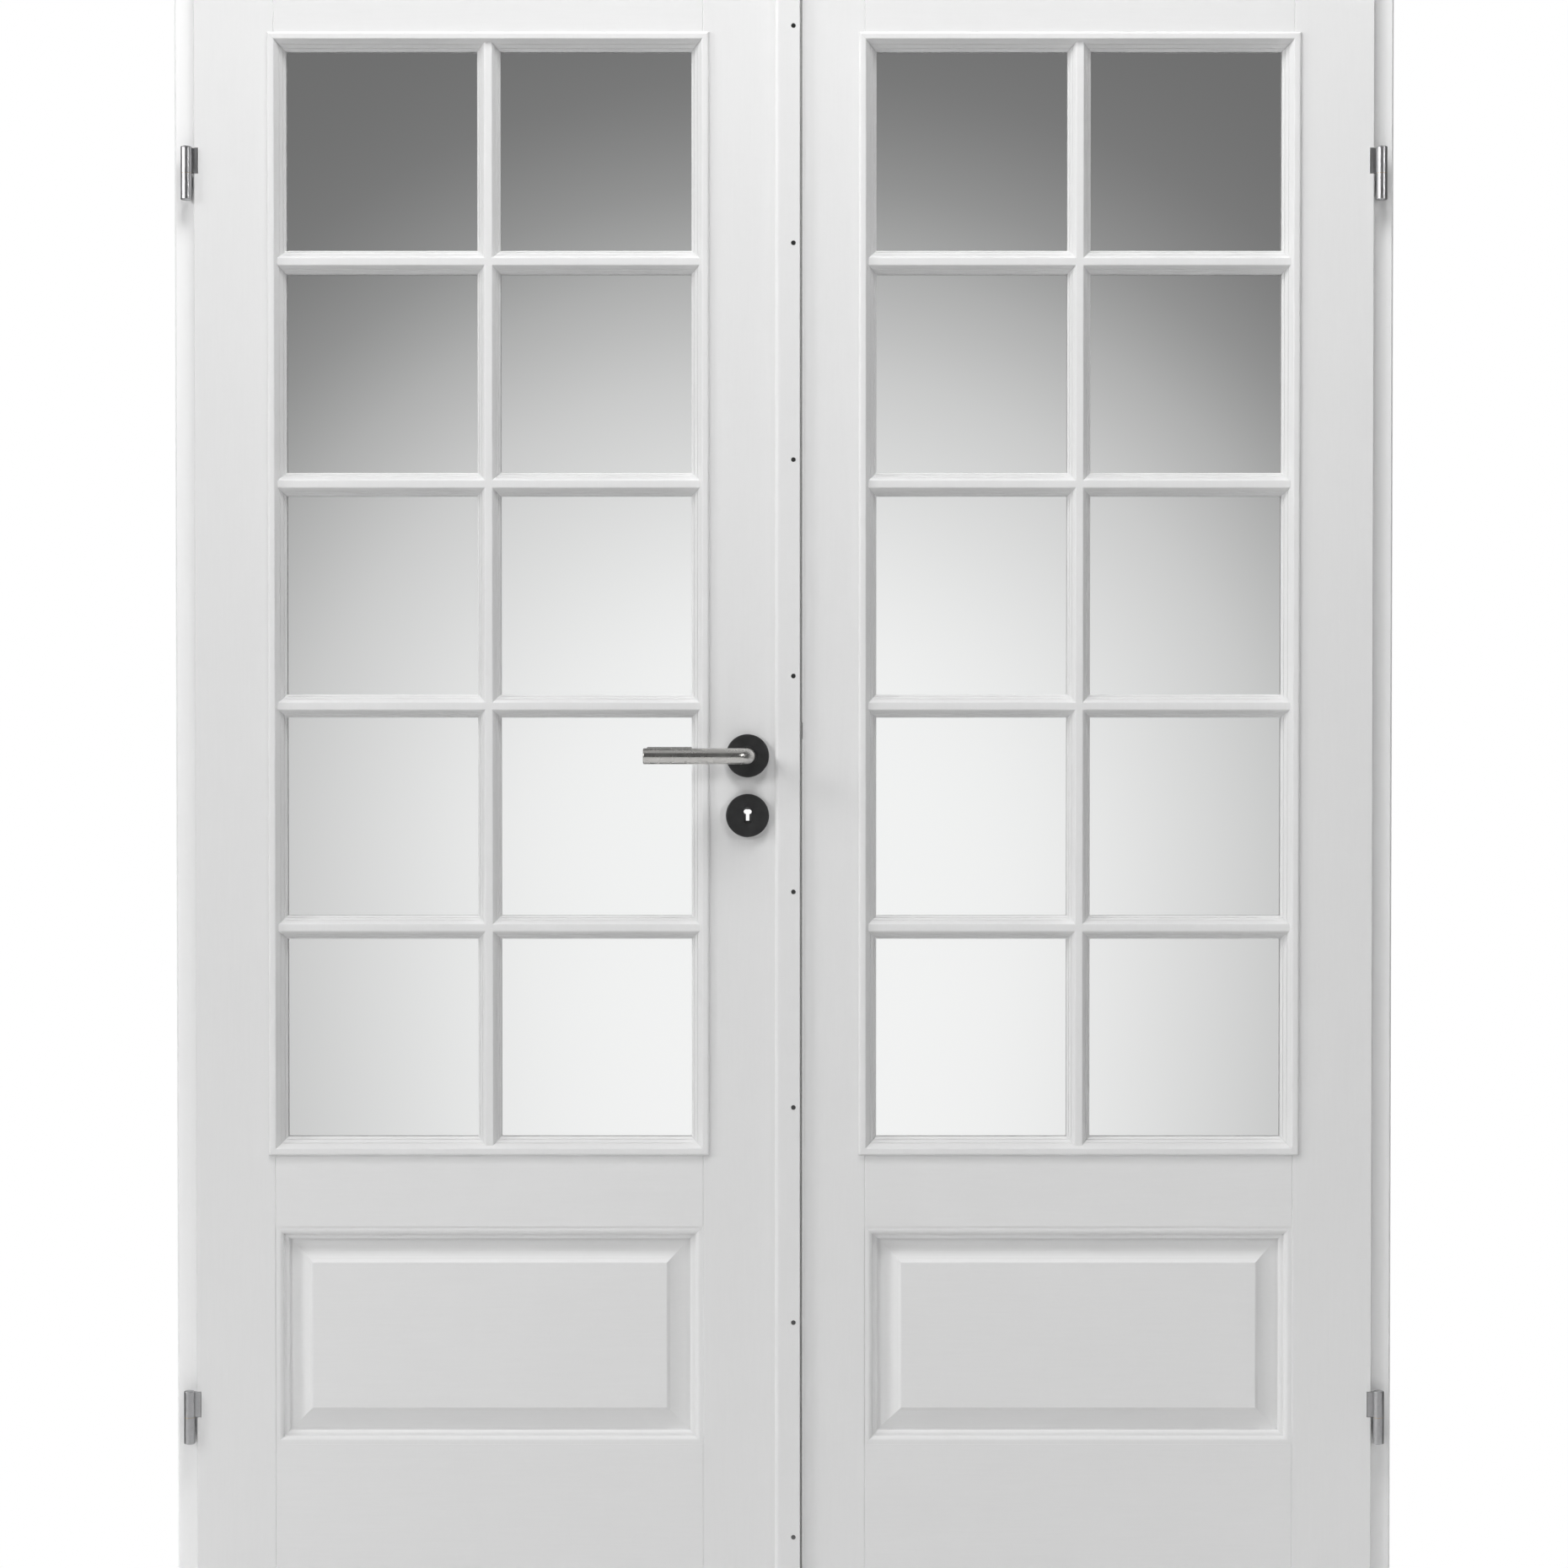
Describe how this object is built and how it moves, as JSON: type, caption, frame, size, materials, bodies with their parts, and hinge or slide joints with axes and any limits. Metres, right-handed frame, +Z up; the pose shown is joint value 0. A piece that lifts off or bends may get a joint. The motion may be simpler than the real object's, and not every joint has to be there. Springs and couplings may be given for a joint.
{
  "type": "french doors",
  "caption": "Pair of white framed glazed doors with raised lower panels, a cover strip and a lever lock, hung in a slim rebated frame with a low threshold.",
  "frame": {"origin": "middle of the threshold's underside, halfway through the frame's depth", "axes": "+Z up, -Y towards the pull side that the picture shows, +X to the right seen from there"},
  "size_m": [1.47, 0.1665, 2.084],
  "materials": {
    "white_paint": "white satin lacquer on solid wood",
    "clear_glass": "clear float glass",
    "pale_rubber": "matt",
    "birch": "bare",
    "dark_metal": "dark graphite, fine satin",
    "brushed_steel": "brushed along the tube",
    "brass": "cast",
    "nickel_steel": "nickel plated",
    "zinc_steel": "zinc plated"
  },
  "bodies": {
    "frame": {"left_jamb": "white_paint", "right_jamb": "white_paint", "head_jamb": "white_paint", "threshold": "white_paint", "frame_seal": "pale_rubber", "frame_hinge_halves": "zinc_steel", "frame_hinge_screws": "zinc_steel", "bolt_keeps": "nickel_steel"},
    "left_leaf": {"left_hinge_stile": "white_paint", "left_meeting_stile": "white_paint", "left_top_rail": "white_paint", "left_lock_rail": "white_paint", "left_bottom_rail": "white_paint", "left_dowels": "birch", "left_raised_panel": "white_paint", "left_panel_mouldings": "white_paint", "left_glass": "clear_glass", "left_glazing_tape": "pale_rubber", "left_front_beads": "white_paint", "left_back_beads": "white_paint", "left_front_bars": "white_paint", "left_back_bars": "white_paint", "left_hinge_halves": "zinc_steel", "left_hinge_screws": "zinc_steel", "cover_strip": "white_paint", "strip_screws": "zinc_steel", "meeting_seal": "pale_rubber", "lock_case": "zinc_steel", "lock_cover": "zinc_steel", "lock_forend": "nickel_steel", "lever_roses": "dark_metal", "key_escutcheons": "dark_metal"},
    "right_leaf": {"right_hinge_stile": "white_paint", "right_meeting_stile": "white_paint", "right_top_rail": "white_paint", "right_lock_rail": "white_paint", "right_bottom_rail": "white_paint", "right_dowels": "birch", "right_raised_panel": "white_paint", "right_panel_mouldings": "white_paint", "right_glass": "clear_glass", "right_glazing_tape": "pale_rubber", "right_front_beads": "white_paint", "right_back_beads": "white_paint", "right_front_bars": "white_paint", "right_back_bars": "white_paint", "right_hinge_halves": "zinc_steel", "right_hinge_screws": "zinc_steel", "strike_plate": "nickel_steel", "strike_screws": "zinc_steel", "bolt_plates": "nickel_steel"},
    "lever": {"front_lever": "brushed_steel", "back_lever": "brushed_steel", "lever_spindle": "zinc_steel", "lock_follower": "brass"},
    "latch": {"latch_bolt": "nickel_steel"},
    "deadbolt_body": {"deadbolt": "nickel_steel"},
    "upper_bolt": {"upper_bolt_rod": "zinc_steel"},
    "lower_bolt": {"lower_bolt_rod": "zinc_steel"}
  },
  "joints": [
    {"name": "left_leaf_swing", "type": "hinge", "parent": "frame", "child": "left_leaf", "pos_m": [-0.7185, -0.063, 1], "axis": [0, 0, -1], "range_deg": [0, 170]},
    {"name": "right_leaf_swing", "type": "hinge", "parent": "frame", "child": "right_leaf", "pos_m": [0.7185, -0.063, 1], "axis": [0, 0, 1], "range_deg": [0, 170]},
    {"name": "lever_turn", "type": "hinge", "parent": "left_leaf", "child": "lever", "pos_m": [-0.044, -0.041, 1.073], "axis": [0, -1, 0], "range_deg": [0, 45], "stiffness_Nm_per_rad": 1.2, "springref_deg": -34.38},
    {"name": "latch_slide", "type": "slide", "parent": "left_leaf", "child": "latch", "axis": [-1, 0, 0], "range_m": [0, 0.0135]},
    {"name": "deadbolt_throw", "type": "slide", "parent": "left_leaf", "child": "deadbolt_body", "axis": [1, 0, 0], "range_m": [0, 0.014]},
    {"name": "upper_bolt_throw", "type": "slide", "parent": "right_leaf", "child": "upper_bolt", "axis": [0, 0, 1], "range_m": [0, 0.014]},
    {"name": "lower_bolt_throw", "type": "slide", "parent": "right_leaf", "child": "lower_bolt", "axis": [0, 0, -1], "range_m": [0, 0.014]}
  ],
  "couplings": [
    {"joint": "latch_slide", "follows": "lever_turn", "m_per_rad": 0.017187}
  ]
}
